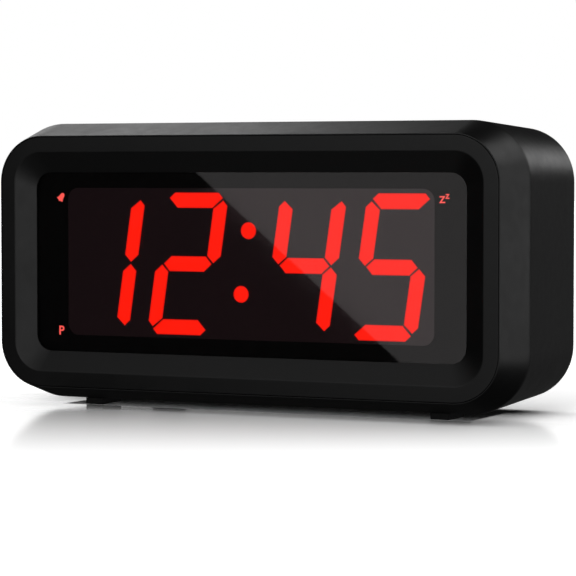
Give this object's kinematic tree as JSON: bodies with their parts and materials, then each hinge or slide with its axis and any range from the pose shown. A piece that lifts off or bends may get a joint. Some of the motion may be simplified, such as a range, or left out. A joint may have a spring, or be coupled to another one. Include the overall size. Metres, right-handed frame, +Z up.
{
  "type": "alarm clock",
  "caption": "Compact black digital alarm clock with a red LED display behind a dark lens, a snooze bar on top, and setting keys and a battery bay behind.",
  "frame": {"origin": "bottom centre of the clock, on the surface its four feet stand on", "axes": "+X along the width, to the right of someone looking at the display; -Y is the way the display faces; +Z up"},
  "size_m": [0.126, 0.0412, 0.0636],
  "materials": {
    "case_plastic": "satin, fine moulded grain",
    "key_plastic": "satin",
    "inner_plastic": "matte",
    "lens_acrylic": "clear gloss, smoked",
    "mask_print": "printed black",
    "led_epoxy": "diffused epoxy, lit red",
    "circuit_board": "solder mask",
    "chip_plastic": "moulded",
    "steel": "zinc plated",
    "nickel": "nickel plated",
    "capacitor_sleeve": "shrink sleeve",
    "cell_wrap": "shrink wrap with bare steel ends",
    "foot_rubber": "matte",
    "red_insulation": "satin",
    "black_insulation": "satin",
    "ribbon_insulation": "satin"
  },
  "bodies": {
    "case": {"main_shell": "case_plastic", "front_bezel": "case_plastic", "rear_cover": "case_plastic", "display_housing": "inner_plastic", "lens_panel": "lens_acrylic", "mask_film": "mask_print", "digit_guide_hour_tens": "led_epoxy", "digit_guide_hour_units": "led_epoxy", "digit_guide_minute_tens": "led_epoxy", "digit_guide_minute_units": "led_epoxy", "colon_guide": "led_epoxy", "alarm_indicator": "led_epoxy", "pm_indicator": "led_epoxy", "snooze_indicator": "led_epoxy", "main_board": "circuit_board", "key_board": "circuit_board", "clock_chip": "chip_plastic", "snooze_switch": "chip_plastic", "time_switch": "chip_plastic", "alarm_switch": "chip_plastic", "hour_switch": "chip_plastic", "minute_switch": "chip_plastic", "buzzer": "chip_plastic", "case_screw_left": "steel", "case_screw_right": "steel", "main_board_screw_1": "steel", "main_board_screw_2": "steel", "main_board_screw_3": "steel", "main_board_screw_4": "steel", "key_board_screw_1": "steel", "key_board_screw_2": "steel", "quartz_crystal": "steel", "slide_switch": "steel", "link_contact": "nickel", "negative_contact": "nickel", "positive_contact": "nickel", "filter_capacitor": "capacitor_sleeve", "cell_upper_1": "cell_wrap", "cell_upper_2": "cell_wrap", "cell_lower_1": "cell_wrap", "cell_lower_2": "cell_wrap", "foot_front_left": "foot_rubber", "foot_front_right": "foot_rubber", "foot_rear_left": "foot_rubber", "foot_rear_right": "foot_rubber", "red_wire": "red_insulation", "black_wire": "black_insulation", "ribbon_cable": "ribbon_insulation"},
    "snooze": {"snooze_bar": "case_plastic", "snooze_plunger": "inner_plastic"},
    "time_key": {"time_button": "key_plastic", "time_plunger": "inner_plastic"},
    "alarm_key": {"alarm_button": "key_plastic", "alarm_plunger": "inner_plastic"},
    "hour_key": {"hour_button": "key_plastic", "hour_plunger": "inner_plastic"},
    "minute_key": {"minute_button": "key_plastic", "minute_plunger": "inner_plastic"},
    "alarm_slide": {"alarm_slider": "key_plastic"},
    "door": {"battery_door": "case_plastic"}
  },
  "joints": [
    {"name": "snooze_press", "type": "slide", "parent": "case", "child": "snooze", "axis": [0, 0, -1], "range_m": [0, 0.001], "stiffness_N_per_m": 600, "springref_m": -0.0005},
    {"name": "time_press", "type": "slide", "parent": "case", "child": "time_key", "axis": [0, -1, 0], "range_m": [0, 0.0005], "stiffness_N_per_m": 800, "springref_m": -0.0003},
    {"name": "alarm_press", "type": "slide", "parent": "case", "child": "alarm_key", "axis": [0, -1, 0], "range_m": [0, 0.0005], "stiffness_N_per_m": 800, "springref_m": -0.0003},
    {"name": "hour_press", "type": "slide", "parent": "case", "child": "hour_key", "axis": [0, -1, 0], "range_m": [0, 0.0005], "stiffness_N_per_m": 800, "springref_m": -0.0003},
    {"name": "minute_press", "type": "slide", "parent": "case", "child": "minute_key", "axis": [0, -1, 0], "range_m": [0, 0.0005], "stiffness_N_per_m": 800, "springref_m": -0.0003},
    {"name": "alarm_slide_travel", "type": "slide", "parent": "case", "child": "alarm_slide", "axis": [1, 0, 0], "range_m": [0, 0.003]},
    {"name": "door_hinge", "type": "hinge", "parent": "case", "child": "door", "pos_m": [0, 0.0191, 0.0086], "axis": [-1, 0, 0], "range_deg": [0, 80]}
  ]
}
